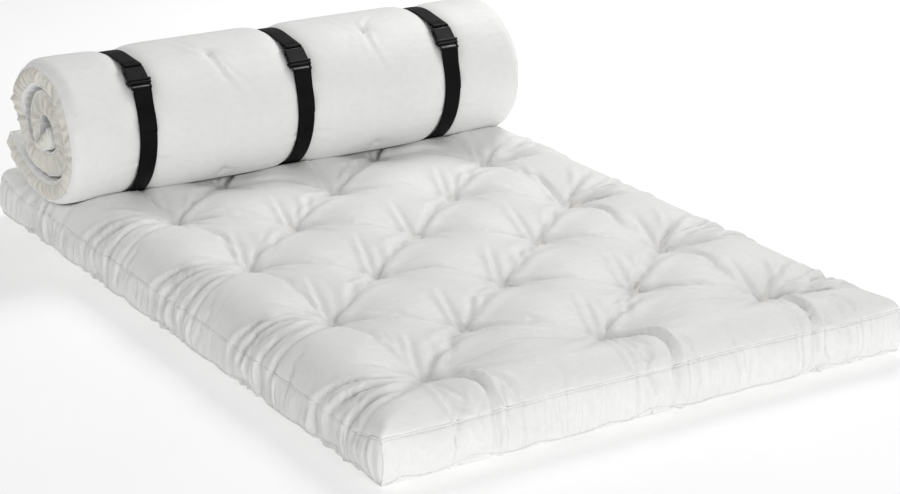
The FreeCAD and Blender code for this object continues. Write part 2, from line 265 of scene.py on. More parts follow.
def tube(name, spine, radius, sides=8, closed=False, up=(0, 0, 1)):
    """A round tube along a line of points, with caps unless it is closed."""
    spine = np.asarray(spine, dtype=float)
    if closed:
        way = np.roll(spine, -1, axis=0) - np.roll(spine, 1, axis=0)
    else:
        way = np.gradient(spine, axis=0)
    way /= np.maximum(np.linalg.norm(way, axis=1, keepdims=True), 1e-12)
    side = np.cross(way, np.asarray(up, dtype=float))
    side /= np.maximum(np.linalg.norm(side, axis=1, keepdims=True), 1e-9)
    top = np.cross(side, way)
    turn = np.linspace(0, 2 * math.pi, sides, endpoint=False)
    radius = np.broadcast_to(radius, (len(spine),))[:, None, None]
    ring = side[:, None] * np.cos(turn)[None, :, None]
    ring = ring + top[:, None] * np.sin(turn)[None, :, None]
    points = spine[:, None] + ring * radius
    faces = grid_faces(len(spine), sides, wrap_rows=closed, wrap_columns=True)
    if closed:
        return mesh_object(name, points, faces)
    points = points.reshape(-1, 3)
    caps = []
    for first, centre in ((0, spine[0]), ((len(spine) - 1) * sides, spine[-1])):
        hub = len(points)
        points = np.concatenate([points, centre[None]])
        for k in range(0, sides, 2):
            corner = [hub, first + k, first + (k + 1) % sides, first + (k + 2) % sides]
            caps.append(corner if first else corner[::-1])
    return mesh_object(name, points, np.concatenate([faces, np.array(caps)]))


def joined(name, parts):
    """Several mesh objects as one object."""
    points, faces, count = [], [], 0
    for part in parts:
        mesh = part.data
        co = np.empty(len(mesh.vertices) * 3, dtype=np.float32)
        mesh.vertices.foreach_get("co", co)
        quads = np.empty(len(mesh.loops), dtype=np.int32)
        mesh.loops.foreach_get("vertex_index", quads)
        points.append(co.reshape(-1, 3))
        faces.append(quads.reshape(-1, 4) + count)
        count += len(mesh.vertices)
        bpy.data.objects.remove(part)
    return mesh_object(name, np.concatenate(points), np.concatenate(faces))


def smooth_noise(u, v, size, seed):
    """Smooth noise from -1 to 1 over two coordinates, its lumps about size across."""
    side = 64
    lattice = np.random.default_rng(seed).uniform(-1, 1, (side, side))
    u = np.asarray(u) / size
    v = np.asarray(v) / size
    iu, iv = np.floor(u).astype(int), np.floor(v).astype(int)
    fu, fv = u - iu, v - iv
    fu, fv = fu * fu * (3 - 2 * fu), fv * fv * (3 - 2 * fv)
    corner = [[lattice[(iu + a) % side, (iv + b) % side] for a in (0, 1)] for b in (0, 1)]
    low = corner[0][0] * (1 - fu) + corner[0][1] * fu
    high = corner[1][0] * (1 - fu) + corner[1][1] * fu
    return low * (1 - fv) + high * fv


def smoothstep(low, high, value):
    """An eased step from 0 at low to 1 at high."""
    t = np.clip((np.asarray(value) - low) / (high - low), 0, 1)
    return t * t * (3 - 2 * t)


def tuft_rows_of(rows, first_is_wide):
    """Each tuft's x and row number, the rows being three and two tufts wide in turn."""
    for row in range(rows):
        if (row % 2 == 0) == first_is_wide:
            columns = (-TUFT_OFFSET, 0, TUFT_OFFSET)
        else:
            columns = (-TUFT_OFFSET / 2, TUFT_OFFSET / 2)
        for x in columns:
            yield x, row


rng = np.random.default_rng(7)
SEAT_TUFTS = [
    (
        x - 0.006 + rng.uniform(-0.004, 0.004),
        (row - (TUFT_ROWS - 1) / 2) * TUFT_PITCH + rng.uniform(0.0, 0.010),
    )
    for x, row in tuft_rows_of(TUFT_ROWS, True)
]


def finish_piece(obj, body, slot, material, node):
    """Gives a piece its material and body, and hides the CAD node that it stands for. The slot is not used.
    """
    obj.data.materials.append(material)
    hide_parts(node)
    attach(obj, body)


# Materials


class Nodes:
    """A material's node tree, with a short way to add and link nodes."""

    def __init__(self, name):
        self.material = bpy.data.materials.new(name)
        self.material.use_nodes = True
        self.tree = self.material.node_tree
        self.shader = self.tree.nodes["Principled BSDF"]
        self.place = self.add("ShaderNodeTexCoord").outputs["Object"]

    def add(self, kind, inputs=None, **settings):
        node = self.tree.nodes.new(kind)
        for key, value in settings.items():
            setattr(node, key, value)
        for key, value in (inputs or {}).items():
            if isinstance(value, bpy.types.NodeSocket):
                self.tree.links.new(value, node.inputs[key])
            else:
                node.inputs[key].default_value = value
        return node

    def link(self, output, socket):
        self.tree.links.new(output, self.shader.inputs[socket])

    def set(self, values):
        for socket, value in values.items():
            self.shader.inputs[socket].default_value = value

    def noise(self, scale, detail=3.0, vector=None, rough=0.5):
        inputs = {"Vector": vector or self.place, "Scale": scale, "Detail": detail, "Roughness": rough}
        return self.add("ShaderNodeTexNoise", inputs).outputs["Fac"]

    def wave(self, scale, direction, distortion=0.0):
        inputs = {"Vector": self.place, "Scale": scale, "Distortion": distortion}
        return self.add("ShaderNodeTexWave", inputs, bands_direction=direction).outputs["Fac"]

    def math(self, operation, a, b=0.0, clamp=False):
        return self.add("ShaderNodeMath", {0: a, 1: b}, operation=operation, use_clamp=clamp).outputs[0]

    def ramp(self, value, stops):
        node = self.add("ShaderNodeValToRGB", {"Fac": value})
        elements = node.color_ramp.elements
        while len(elements) < len(stops):
            elements.new(0.5)
        for element, (at, colour) in zip(elements, stops):
            element.position = at
            element.color = (*colour, 1)
        return node.outputs["Color"]

    def bump(self, height, strength, distance, normal=None):
        inputs = {"Height": height, "Strength": strength, "Distance": distance}
        if normal:
            inputs["Normal"] = normal
        return self.add("ShaderNodeBump", inputs).outputs["Normal"]


def cloth_material(name, light, shade, weave=1.0, strain=(9, 75, 40)):
    """Plain-woven white cloth: fine weave, faint slubs, drawn lines, soft rumpling and a slight sheen."""
    m = Nodes(name)
    broad = m.math("MULTIPLY", m.noise(5.0, 4.0), 0.6)
    slubs = m.math("MULTIPLY", m.noise(60.0, 2.0), 0.4)
    tone = m.math("ADD", broad, slubs)
    m.link(m.ramp(tone, [(0.30, shade), (0.62, light)]), "Base Color")
    threads = m.math("MULTIPLY", m.wave(420.0, "X", 0.6), m.wave(420.0, "Y", 0.6))
    threads = m.math("ADD", threads, m.wave(420.0, "Z", 0.6))
    fine = m.bump(threads, 0.10 * weave, 0.0004)
    drawn = m.add("ShaderNodeMapping", {"Vector": m.place, "Scale": strain}).outputs["Vector"]
    lines = m.bump(m.noise(1.0, 4.0, drawn, 0.6), 0.45, 0.0045, fine)
    rumple = m.bump(m.noise(34.0, 5.0, rough=0.62), 0.16, 0.004, lines)
    m.link(rumple, "Normal")
    m.link(m.ramp(m.noise(90.0, 3.0), [(0.3, (0.50,) * 3), (0.7, (0.62,) * 3)]), "Roughness")
    m.set({"Sheen Weight": 0.35, "Sheen Roughness": 0.35, "Specular IOR Level": 0.35})
    return m.material


def webbing_material():
    """Black polyester webbing: a ribbed twill weave across its width, with a soft sheen."""
    m = Nodes("black_webbing")
    ribs = m.wave(150.0, "X", 0.4)
    picks = m.noise(700.0, 2.0)
    weave = m.math("ADD", m.math("MULTIPLY", ribs, 0.7), m.math("MULTIPLY", picks, 0.5))
    m.link(m.ramp(weave, [(0.2, (0.0008, 0.0008, 0.001)), (0.9, (0.0030, 0.0030, 0.0035))]), "Base Color")
    m.link(m.bump(weave, 0.5, 0.0006), "Normal")
    m.link(m.ramp(m.noise(120.0), [(0.3, (0.42,) * 3), (0.7, (0.56,) * 3)]), "Roughness")
    m.set({"Specular IOR Level": 0.10})
    return m.material


def plastic_material():
    """Black moulded buckle plastic: a fine eroded grain, a little shinier where it is rubbed."""
    m = Nodes("black_buckle_plastic")
    grain = m.noise(900.0, 2.0)
    stops = [(0.3, (0.0010, 0.0010, 0.0011)), (0.7, (0.0030, 0.0030, 0.0032))]
    m.link(m.ramp(m.noise(40.0), stops), "Base Color")
    m.link(m.bump(grain, 0.25, 0.0003), "Normal")
    m.link(m.ramp(m.noise(70.0, 3.0), [(0.35, (0.34,) * 3), (0.7, (0.48,) * 3)]), "Roughness")
    m.set({"Specular IOR Level": 0.20})
    return m.material


def plain_fibre(name, light, shade, scale, bump):
    """Loose fibre or open foam, for what the covers hold inside."""
    m = Nodes(name)
    cells = m.noise(scale, 4.0)
    m.link(m.ramp(cells, [(0.3, shade), (0.7, light)]), "Base Color")
    m.link(m.bump(cells, 0.5, bump), "Normal")
    m.set({"Roughness": 0.9})
    return m.material


PANEL = cloth_material("panel_cloth", (0.90, 0.90, 0.89), (0.85, 0.85, 0.84))
BORDER = cloth_material("border_cloth", (0.88, 0.88, 0.87), (0.82, 0.82, 0.80), strain=(120, 120, 9))
# The roll's coiled end borders: the white border cloth painted darker and warmer, as painted shade on the
# coil
ROLL_END_PAINTED_SHADE = cloth_material(
    "roll_border_cloth_painted_shade", (0.80, 0.785, 0.725), (0.69, 0.672, 0.605), strain=(60, 60, 60)
)
SEAM = cloth_material("seam_cloth", (0.90, 0.90, 0.89), (0.86, 0.86, 0.85), weave=1.0)
THREAD = cloth_material("tuft_thread", (0.84, 0.84, 0.82), (0.76, 0.76, 0.74), weave=2.5)
BATTING = plain_fibre("batting", (0.90, 0.89, 0.86), (0.80, 0.79, 0.75), 240.0, 0.002)
FOAM = plain_fibre("foam", (0.86, 0.82, 0.66), (0.74, 0.69, 0.52), 600.0, 0.001)
WEBBING = webbing_material()
STITCH = plain_fibre("strap_thread", (0.030, 0.030, 0.034), (0.012, 0.012, 0.014), 1400.0, 0.0003)
PLASTIC = plastic_material()


# Flat mattress


def pit_field(x, y, spread):
    """How strongly the nearest tufts draw a point in, from 0 to 1."""
    pull = np.zeros_like(x)
    for tx, ty in SEAT_TUFTS:
        pull = np.maximum(pull, np.exp(-((np.hypot(x - tx, y - ty) / spread) ** 1.05)))
    return pull


def rounded_edge(along, radius):
    """How far in and how far down the cover is at a distance along it from its seam."""
    angle = np.minimum(along / radius, math.pi / 2)
    spare = np.maximum(along - radius * math.pi / 2, 0)
    beyond = along - radius * (math.pi / 2 - 1) * np.exp(-spare / ROUND_REACH)
    inward = np.where(spare > 0, beyond, radius * (1 - np.cos(angle)))
    return inward, radius * (1 - np.sin(angle))


def seat_start_shape():
    """The top panel and border as one open shell of points, before the cloth is simulated."""
    columns = round(WIDTH / CELL) + 1
    rows = round(LENGTH / CELL) + 1
    x, y = np.meshgrid(
        np.linspace(-WIDTH / 2, WIDTH / 2, columns), np.linspace(-LENGTH / 2, LENGTH / 2, rows)
    )
    from_side, from_end = WIDTH / 2 - abs(x), LENGTH / 2 - abs(y)
    side_round = FRONT_ROUND + (SIDE_ROUND - FRONT_ROUND) * smoothstep(0.0, 0.15, from_end)
    side_in, side_down = rounded_edge(from_side, side_round)
    end_in, end_down = rounded_edge(from_end, FRONT_ROUND)
    crown = SEAM_TOP + CROWN - (side_down**3 + end_down**3) ** (1 / 3)
    z = crown - np.maximum(crown - PIT_LEVEL, 0) * pit_field(x, y, PIT_SPREAD)
    top = np.stack([np.sign(x) * (WIDTH / 2 - side_in), np.sign(y) * (LENGTH / 2 - end_in), z], -1)

    ring = perimeter(rows, columns)
    rim = top.reshape(-1, 3)[ring]
    outward = rim_outward(rows, columns)
    border = []
    for k in range(1, BORDER_ROWS + 1):
        share = k / BORDER_ROWS
        row = rim.copy()
        row[:, 2] += (SEAM_BOTTOM - row[:, 2]) * share
        row[:, :2] += outward * BORDER_SWELL * math.sin(math.pi * share) ** 1.6
        border.append(row)
    return top, np.array(border), ring


def rim_outward(rows, columns):
    """The outward way in plan at each rim point."""
    ways = [((0, -1), columns - 1), ((1, 0), rows - 1), ((0, 1), columns - 1), ((-1, 0), rows - 1)]
    return np.concatenate([np.tile(np.array(way, dtype=float), (count, 1)) for way, count in ways])


def simulated_seat():
    """The top panel's grid and the border's rows after the cover is blown up against its tufts."""
    top, border, ring = seat_start_shape()
    rows, columns = top.shape[:2]
    count = rows * columns
    loops = len(ring)
    faces = [grid_faces(rows, columns)]
    above = ring
    for k in range(len(border)):
        below = count + k * loops + np.arange(loops)
        faces.append(np.stack([above, below, np.roll(below, -1), np.roll(above, -1)], -1))
        above = below
    points = np.concatenate([top.reshape(-1, 3), border.reshape(-1, 3)])
    shell = mesh_object("cover_shell", points, np.concatenate(faces))

    weights = np.zeros(len(points))
    weights[:count] = HOLD_TOP
    for tx, ty in SEAT_TUFTS:
        near = np.hypot(points[:count, 0] - tx, points[:count, 1] - ty) < 1.3 * CELL
        weights[:count][near] = HOLD_TUFT
    weights[ring] = HOLD_RIM
    weights[count + (len(border) - 1) * loops :] = HOLD_TUFT
    group = shell.vertex_groups.new(name="held")
    for weight in np.unique(weights):
        if weight > 0:
            group.add(np.flatnonzero(weights == weight).tolist(), float(weight), "REPLACE")

    cloth = shell.modifiers.new("cloth", "CLOTH")
    settings = cloth.settings
    for key, value in COVER_CLOTH.items():
        setattr(settings, key, value)
    settings.vertex_group_mass = "held"
    settings.pin_stiffness = 1.5
    settings.use_pressure = True
    settings.uniform_pressure_force = COVER_PRESSURE
    settings.shrink_min = -0.015
    settings.effector_weights.gravity = 0
    cloth.collision_settings.use_collision = False
    cloth.collision_settings.use_self_collision = False
    cloth.point_cache.frame_start = 1
    cloth.point_cache.frame_end = COVER_FRAMES
    scene = bpy.context.scene
    for number in range(1, COVER_FRAMES + 1):
        scene.frame_set(number)
    solved = shell.evaluated_get(bpy.context.evaluated_depsgraph_get())
    points = np.empty(len(solved.data.vertices) * 3, dtype=np.float32)
    solved.data.vertices.foreach_get("co", points)
    points = points.reshape(-1, 3).astype(float)
    shell.modifiers.clear()
    bpy.data.objects.remove(shell)
    scene.frame_set(1)
    return points[:count].reshape(rows, columns, 3), points[count:].reshape(len(border), loops, 3), ring


def seat_folds():
    """The top panel's folds: start, end, bend, depth, width, ridge side, and if one meets an edge."""
    for number, (tx, ty) in enumerate(SEAT_TUFTS):
        own = np.random.default_rng(100 + number)
        pattern = [
            (0.050, 0.200, 0.004, 0.0125, 0.0065, 1),
            (0.075, 0.150, -0.020, 0.0050, 0.0080, -1),
            (0.125, 0.150, -0.030, 0.0075, 0.0075, 1),
            (0.215, 0.105, 0.018, 0.0100, 0.0130, -1),
            (0.150, 0.060, 0.016, 0.0035, 0.0070, -1),
            (-0.150, 0.095, -0.018, 0.0085, 0.0120, 1),
            (-0.105, 0.055, -0.020, 0.0045, 0.0065, 1),
            (0.020, -0.170, 0.010, 0.0060, 0.0080, 1),
            (0.190, -0.110, -0.018, 0.0080, 0.0120, 1),
            (-0.170, -0.115, 0.018, 0.0080, 0.0120, -1),
        ]
        if ty < -0.7:
            pattern[7] = (0.045 if tx < 0.1 else -0.02, -0.225, 0.030, 0.0165, 0.0075, 1)
            pattern.append((-0.050, -0.222, -0.012, 0.0080, 0.0060, -1))
            pattern.append((0.130, -0.222, 0.010, 0.0055, 0.0060, 1))
            pattern.append((0.090, -0.222, 0.014, 0.0040, 0.0055, 1))
        if ty > 0.7:
            pattern[0] = (0.050, 0.226, 0.024, 0.0080, 0.0080, 1)
        if abs(tx) > 0.4:
            way = math.copysign(1, tx)
            margin = [(0.110, 0.0080), (0.055, 0.0115), (0.020, 0.0060), (-0.045, 0.0110), (-0.100, 0.0080)]
            for dy, deep in margin:
                dy += own.uniform(-0.015, 0.015)
                dx = way * own.uniform(0.236, 0.255)
                pattern.append((dx, dy - 0.03, -way * 0.040, deep, 0.0068, way))
        for dx, dy, bend, deep, wide, side in pattern:
            outward = abs(tx + dx) > WIDTH / 2 or abs(ty + dy) > LENGTH / 2
            if not outward:
                dx += own.uniform(-0.020, 0.020)
                dy *= own.uniform(0.82, 1.15)
            bend *= own.uniform(0.5, 1.5)
            deep *= own.uniform(0.75, 1.15)
            yield (tx, ty), (tx + dx, ty + dy), bend, deep, wide, side, outward


def fold_field(x, y, start, end, bend, deep, wide, ridge_side=1, outward=False):
    """One fold: a groove with a low ridge on one side, that fades out or grows along its length."""
    share = np.linspace(0, 1, 13)
    way = np.array(end) - np.array(start)
    length = np.hypot(*way)
    side = np.array([-way[1], way[0]]) / length
    line = np.array(start)[None] + share[:, None] * way[None]
    line = line + (bend * 4 * share * (1 - share))[:, None] * side[None]
    margin = 5 * wide
    low = line.min(0) - margin
    high = line.max(0) + margin
    near = (x > low[0]) & (x < high[0]) & (y > low[1]) & (y < high[1])
    field = np.zeros_like(x)
    px, py = x[near], y[near]
    best = np.full(px.shape, 1e9)
    offset = np.zeros(px.shape)
    along = np.zeros(px.shape)
    for k in range(len(line) - 1):
        a, b = line[k], line[k + 1]
        ab = b - a
        t = np.clip(((px - a[0]) * ab[0] + (py - a[1]) * ab[1]) / (ab @ ab), 0, 1)
        dx, dy = px - (a[0] + t * ab[0]), py - (a[1] + t * ab[1])
        d = np.hypot(dx, dy)
        nearer = d < best
        best = np.where(nearer, d, best)
        offset = np.where(nearer, np.sign(ab[0] * dy - ab[1] * dx) * d, offset)
        along = np.where(nearer, share[k] + t * (share[k + 1] - share[k]), along)
    fade = np.clip(1 - along, 0, 1) ** 0.8 * smoothstep(-0.02, 0.10, along)
    if outward:
        fade = smoothstep(-0.05, 0.55, along)
    groove = np.exp(-((offset / wide) ** 2)) * np.exp(-((best / (3 * wide)) ** 4))
    ridge = np.exp(-(((ridge_side * offset - 1.9 * wide) / (1.3 * wide)) ** 2))
    field[near] = deep * fade * (0.7 * ridge - groove)
    return field


def under_roll(y):
    """The highest that the flat mattress may reach at each y, just under the roll and its straps."""
    lean = np.clip((y - ROLL_BOTTOM_Y) / TAIL_RADIUS, 0, 1)
    behind = TAIL_RADIUS * (1 - np.sqrt(1 - lean**2))
    ahead = np.clip((ROLL_BOTTOM_Y - y) / HALF_TURNS[0], 0, 1)
    before = ROLL_HALF_HEIGHT * (1 - np.sqrt(1 - ahead**2))
    return ROLL_BOTTOM_Z - 0.005 + behind + before


def gathered_wall(wall, outward):
    """The border with its upright pleats and its scalloped lower edge, at a finer pitch along it."""
    loop = np.concatenate([wall, wall[:, :1]], axis=1)
    share = np.arange(WALL_SPLIT) / WALL_SPLIT
    fine = loop[:, :-1, None] * (1 - share)[:, None] + loop[:, 1:, None] * share[:, None]
    fine = fine.reshape(len(wall), -1, 3)
    fine = np.concatenate([fine, fine[:, :1]], axis=1)
    out = np.repeat(outward, WALL_SPLIT, axis=0)
    out = np.concatenate([out, out[:1]])
    step = np.linalg.norm(np.diff(fine[0, :, :2], axis=0), axis=1)
    along = np.concatenate([[0], np.cumsum(step)])
    x, y = fine[0, :, 0], fine[0, :, 1]
    from_corner = np.hypot(WIDTH / 2 - abs(x), LENGTH / 2 - abs(y))
    free = smoothstep(0.004, 0.05, from_corner)

    ends = abs(out[:, 1]) > 0.5
    own = np.random.default_rng(21)
    down = np.linspace(0, 1, len(wall))[:, None]
    relief = np.zeros(fine.shape[:2])
    at = 0.0
    while at < along[-1]:
        at += own.uniform(*PLEAT_GAPS)
        big = own.random() < DEEP_PLEATS
        deep = own.uniform(*PLEAT_DEPTHS[big])
        wide = own.uniform(*PLEAT_WIDTHS[big])
        lean = own.uniform(-PLEAT_LEAN, PLEAT_LEAN)
        high, low = sorted(own.uniform(0, 1, 2)) if not big else (0.0, 1.0)
        low = min(1.0, low + 0.35)
        reach = smoothstep(high - 0.25, high, down) * (1 - smoothstep(low, low + 0.3, down))
        offset = along[None] - at - lean * down
        relief -= deep * reach * np.exp(-((offset / wide) ** 2))
        relief += 0.45 * deep * reach * np.exp(-(((offset - 1.8 * wide) / (1.3 * wide)) ** 2))
    relief *= np.clip(0.45 + 0.8 * smooth_noise(along[None] + 0 * down, 0 * down, 0.09, 14), 0.12, 1.3)
    relief += 0.0035 * smooth_noise(along[None] + 0 * down, down * 0.07, 0.075, 12) * np.sin(math.pi * down)
    relief *= 1 - 0.85 * smoothstep(0.8, 1.0, down)
    relief *= free[None] * np.sin(math.pi * np.clip(down, 0.02, 0.98)) ** 0.35
    relief *= np.where(ends, END_PLEATS, SIDE_PLEATS)[None]

    lift = np.zeros(fine.shape[1])
    for tx, ty in SEAT_TUFTS:
        if abs(ty) > 0.7:
            lift = np.maximum(lift, np.exp(-(((x - tx) / TUFT_SCALLOP) ** 2)) * ends)
        if abs(tx) > 0.4:
            lift = np.maximum(lift, np.exp(-(((y - ty) / TUFT_SCALLOP) ** 2)) * ~ends)
    at = 0.05
    while at < along[-1]:
        high, wide = own.uniform(0.2, 0.75), own.uniform(0.022, 0.045)
        lift = np.maximum(lift, high * np.exp(-(((along - at) / wide) ** 2)))
        at += own.uniform(0.10, 0.19)
    tuck = lift[None] * (0.35 + 0.65 * down)
    relief -= SCALLOP_TUCK * tuck * free[None]
    fine[..., :2] += relief[..., None] * out[None]
    fine[..., 2] += (SCALLOP * lift * free)[None] * down**3
    return fine


def build_seat():
    """The flat mattress: covers, seams, filling, tuft threads and knots."""
    top, border, ring = simulated_seat()
    rows, columns = top.shape[:2]
    x, y = top[..., 0], top[..., 1]
    edge = np.minimum(WIDTH / 2 - abs(x), LENGTH / 2 - abs(y))
    creased = np.zeros_like(x)
    for fold in seat_folds():
        creased += fold_field(x, y, *fold)
    creased = np.clip(creased, *CREASE_RANGE)
    outward = rim_outward(rows, columns)
    flat_rim = top.reshape(-1, 3)[ring].copy()
    within = top[1:-1, 1:-1].reshape(-1, 3)[perimeter(rows - 2, columns - 2)]
    nearest = np.argmin(np.linalg.norm(flat_rim[:, None, :2] - within[None, :, :2], axis=2), axis=1)
    short = (((within[nearest] + border[0]) / 2 - flat_rim)[:, :2] * outward).sum(1)
    flat_rim[:, :2] += outward * np.maximum(short, 0)[:, None]
    top.reshape(-1, 3)[ring] = flat_rim
    normals = grid_normals(top)
    normals *= np.sign(normals[rows // 2, columns // 2, 2])
    top += normals * creased[..., None]
    top[..., 2] = np.minimum(top[..., 2], under_roll(y))

    panel = cloth_piece("seat_top_panel_cloth", top)
    finish_piece(panel, "mattress", "panel_cloth", PANEL, "seat_top_panel")

    rim = top.reshape(-1, 3)[ring]
    share = np.arange(1, BORDER_ROWS + 1)[:, None, None] / BORDER_ROWS
    wall = np.concatenate([rim[None], border + (rim - flat_rim)[None] * (1 - share) ** 0.45])
    wall = gathered_wall(wall, outward)
    bottom_rim = wall[-1, ::WALL_SPLIT]
    counts = np.cumsum([0, columns - 1, rows - 1, columns - 1, rows - 1]) * WALL_SPLIT
    for name, first, last in zip(("front", "right", "back", "left"), counts, counts[1:]):
        piece = cloth_piece(f"seat_{name}_border_cloth", wall[:, first : last + 1], flip=True)
        finish_piece(piece, "mattress", "border_cloth", BORDER, f"seat_{name}_border")

    corners = [tube("corner", wall[:, first], CORNER_WELT, up=(1, 0, 0)) for first in counts[:4]]
    finish_piece(joined("seat_corner_welts", corners), "mattress", "seam_cloth", SEAM, "seat_corner_seams")
    for name, line, thick in (("top", wall[0, :-1:2], TOP_WELT), ("bottom", wall[-1, :-1:2], BOTTOM_WELT)):
        welt = tube(f"seat_{name}_welt", line, thick, closed=True)
        finish_piece(welt, "mattress", "seam_cloth", SEAM, f"seat_{name}_seam")

    pits = pit_field(x, y, PIT_SPREAD * 0.7)
    lift = SEAM_BOTTOM * np.exp(-edge / 0.02)
    bz = np.maximum(FLOOR_PIT * pits, lift)
    below = np.stack([x, y, bz], -1)
    below.reshape(-1, 3)[ring] = bottom_rim[:-1]
    under = cloth_piece("seat_bottom_panel_cloth", below, flip=True)
    finish_piece(under, "mattress", "panel_cloth", PANEL, "seat_bottom_panel")

    every = slice(FILLING_INSET, -FILLING_INSET, FILLING_STEP)
    high, low = top[every, every].copy(), below[every, every].copy()
    high[..., :2] *= FILLING_SHARE
    gap = high[..., 2] - low[..., 2]
    layers = {
        "seat_upper_batting_pad": (0.94, 0.80, "batting", BATTING, "seat_upper_batting"),
        "seat_foam_filling": (0.79, 0.21, "foam", FOAM, "seat_foam_core"),
        "seat_lower_batting_pad": (0.20, 0.06, "batting", BATTING, "seat_lower_batting"),
    }
    for name, (upper, lower, slot, material, node) in layers.items():
        levels = []
        for share in (upper, lower):
            levels.append(np.concatenate([high[..., :2], (low[..., 2] + gap * share)[..., None]], -1))
        pad = slab(name, *levels)
        finish_piece(pad, "mattress", slot, material, node)

    twines, knots = [], {"top": [], "bottom": []}
    for number, (tx, ty) in enumerate(SEAT_TUFTS):
        row, column = np.unravel_index(np.argmin(np.hypot(x - tx, y - ty)), x.shape)
        high, low = top[row, column], below[row, column]
        turn = np.linspace(0, 6 * math.pi, 30)
        sway = 0.0006 * np.stack([np.cos(turn), np.sin(turn), 0 * turn], -1)
        spine = low + (high - low) * np.linspace(0, 1, 30)[:, None] + sway
        twines.append(tube("twine", spine, TWINE, sides=6))
        for name, at, way in (("top", high, 1), ("bottom", low, -1)):
            for loop in range(2):
                knots[name].append(thread_loop(at + np.array([0, 0, way * 0.0015]), loop * 1.3 + number))
    finish_tufts("seat", "mattress", twines, knots)


def thread_loop(centre, turn, radius=0.0038, thick=0.0011, tilt=0.35, normal=None):
    """A small loop of tufting thread pulled tight round its knot."""
    angle = np.linspace(0, 2 * math.pi, 14, endpoint=False)
    ring = np.stack([np.cos(angle), 0.7 * np.sin(angle), tilt * np.sin(angle + 1)], -1) * radius
    spin = Matrix.Rotation(turn, 3, "Z")
    if normal is not None:
        spin = Vector(normal).to_track_quat("Z", "Y").to_matrix() @ spin
    ring = ring @ np.array(spin).T + np.asarray(centre)
    return tube("loop", ring, thick, sides=6, closed=True)


def finish_tufts(prefix, body, twines, knots):
    """The twine through one mattress, and the knots on its two faces."""
    thread = (body, "tuft_thread", THREAD)
    finish_piece(joined(f"{prefix}_tuft_threads", twines), *thread, f"{prefix}_tuft_twine")
    for name, group in knots.items():
        knot = joined(f"{prefix}_{name}_thread_knots", group)
        finish_piece(knot, *thread, f"{prefix}_{name}_tuft_knots")


# Rolled mattress


def moved(state, size, turn, share):
    """The place and heading after a share of one line (no turn) or arc (turning right) of a path."""
    y, z, heading = state
    if turn == 0:
        return y + share * size * np.cos(heading), z + share * size * np.sin(heading), heading + 0 * share
    side = math.copysign(size, turn)
    after = heading - math.radians(turn) * share
    y = y + side * (math.sin(heading) - np.sin(after))
    z = z - side * (math.cos(heading) - np.cos(after))
    return y, z, after


def walk(start, steps, spacing):
    """Places along a path as rows of y, z, heading and distance; spacing may depend on the distance."""
    rows = []
    state = start
    gone = 0.0
    for size, turn in steps:
        length = size * math.radians(abs(turn)) if turn else size
        gap = spacing(gone + length / 2) if callable(spacing) else spacing
        share = np.linspace(0, 1, max(2, math.ceil(length / gap) + 1))
        y, z, heading = moved(state, size, turn, share)
        rows.append(np.stack([y, z, heading, gone + share * length], -1)[0 if not rows else 1 :])
        state = (y[-1], z[-1], heading[-1])
        gone += length
    return np.concatenate(rows)


def oval_radii(half_depth, half_height):
    """The radii of the top and side arcs of an oval of four wide and four narrow 45 degree arcs."""
    mean = (half_depth + half_height) / 2
    spread = (half_depth - half_height) / (2 * (math.sqrt(2) - 1))
    return mean + spread, mean - spread


def loose_end():
    """The y and z of the outer surface at the roll's loose end."""
    lean = math.radians(TAIL_ANGLE)
    return ROLL_BOTTOM_Y + TAIL_RADIUS * math.sin(lean), ROLL_BOTTOM_Z + TAIL_RADIUS * (1 - math.cos(lean))


def roll_walk(spacing):
    """The roll's outer surface seen from the side, from its loose end inwards."""
    start = (*loose_end(), math.pi + math.radians(TAIL_ANGLE))
    steps = [(TAIL_RADIUS, TAIL_ANGLE)]
    half_height = ROLL_HALF_HEIGHT
    for number, half_depth in enumerate(HALF_TURNS):
        wide, narrow = oval_radii(half_depth, half_height)
        steps += [(wide, 45), (narrow, 90)]
        if number < len(HALF_TURNS) - 1:
            steps.append((wide, 45))
        half_height -= TURN_PITCH / 2
    steps += CORE_FOLD
    return walk(start, steps, spacing)


def edge_columns(low, high, spacing, rounding):
    """Positions from low to high, crowded where the surface rolls over at both ends."""
    turn = np.linspace(0, math.pi / 2, 8)[:-1]
    ease = rounding * (1 - np.cos(turn))
    middle = np.linspace(low + rounding, high - rounding, round((high - low - 2 * rounding) / spacing))
    return np.concatenate([low + ease, middle, (high - ease)[::-1]])


def roll_surface(state, x, depth):
    """Points at a depth inside the roll's outer surface."""
    y = state[:, 0][:, None] + depth * np.sin(state[:, 2])[:, None]
    z = state[:, 1][:, None] - depth * np.cos(state[:, 2])[:, None]
    return np.stack([np.broadcast_to(x, y.shape), y, z], -1)


def roll_spacing(s):
    """The outer surface's mesh spacing, closer where the camera sees it."""
    return 0.0065 if 0.3 < s < 1.05 else 0.0095


